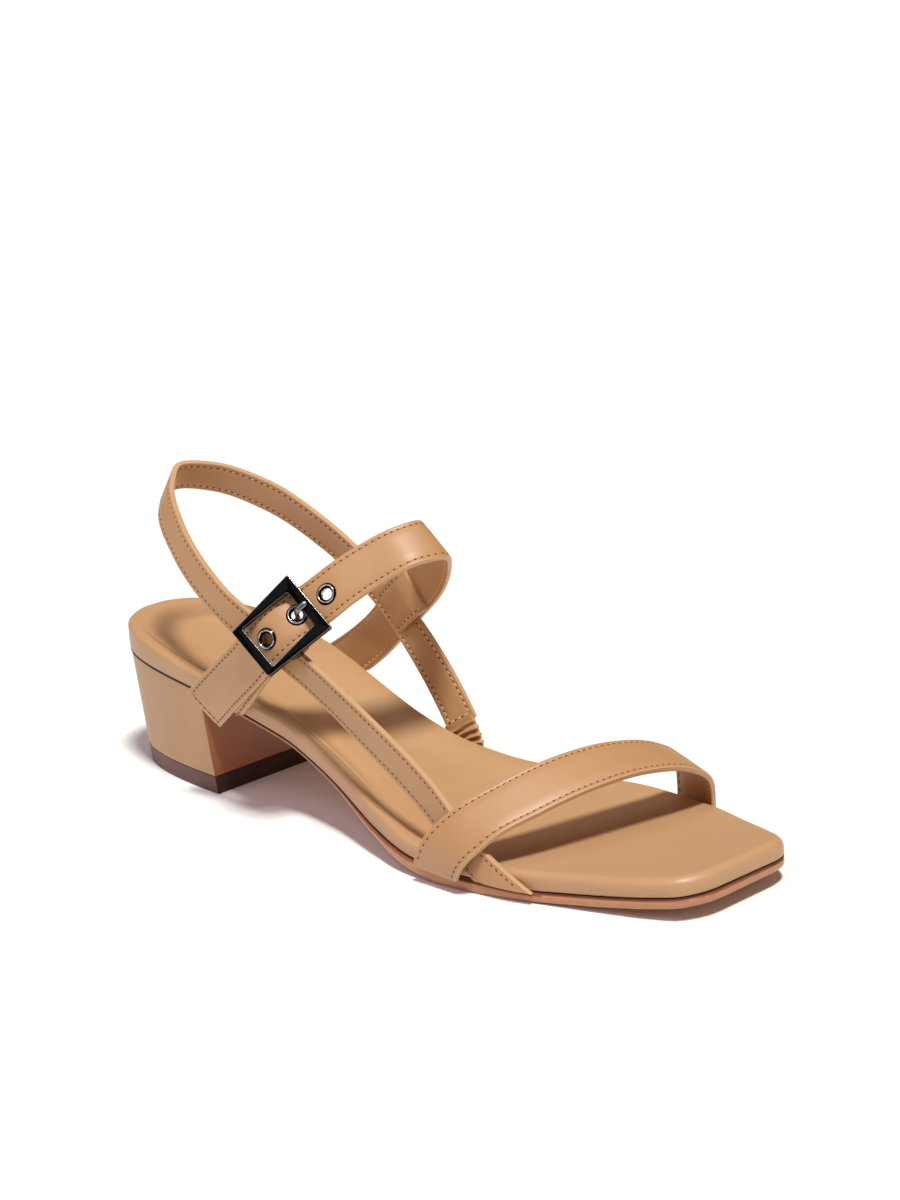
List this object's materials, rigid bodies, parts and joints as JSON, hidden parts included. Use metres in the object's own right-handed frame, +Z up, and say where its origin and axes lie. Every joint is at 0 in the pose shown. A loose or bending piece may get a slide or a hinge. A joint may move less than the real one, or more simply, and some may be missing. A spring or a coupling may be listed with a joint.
{
  "type": "low heel sandal",
  "caption": "Square-toed leather sandal on a low block heel, with a toe strap, a heel sling and a buckled instep strap, for the right foot.",
  "frame": {"origin": "on the floor under the centre of the shoe's bounding box", "axes": "+X from heel to toe, +Y to the inner side of the foot, +Z up from the floor"},
  "size_m": [0.2563, 0.0881, 0.1004],
  "materials": {
    "strap_leather": "smooth tan leather, satin, stitched along both edges",
    "footbed_leather": "smooth tan lining leather over padding",
    "heel_leather": "smooth tan leather cover, satin",
    "sole_leather": "burnished sole edge",
    "top_piece_rubber": "matt dark brown",
    "gathered_elastic": "leather-coloured gathered elastic",
    "buckle_metal": "polished dark plating",
    "eyelet_metal": "polished plating"
  },
  "bodies": {
    "root": {"outsole": "sole_leather", "footbed": "footbed_leather", "heel_block": "heel_leather", "heel_top_piece": "top_piece_rubber", "upper_straps": "strap_leather", "elastic": "gathered_elastic", "buckle_frame": "buckle_metal", "buckle_prong": "buckle_metal", "eyelet_1": "eyelet_metal", "eyelet_2": "eyelet_metal", "eyelet_3": "eyelet_metal"}
  },
  "joints": []
}
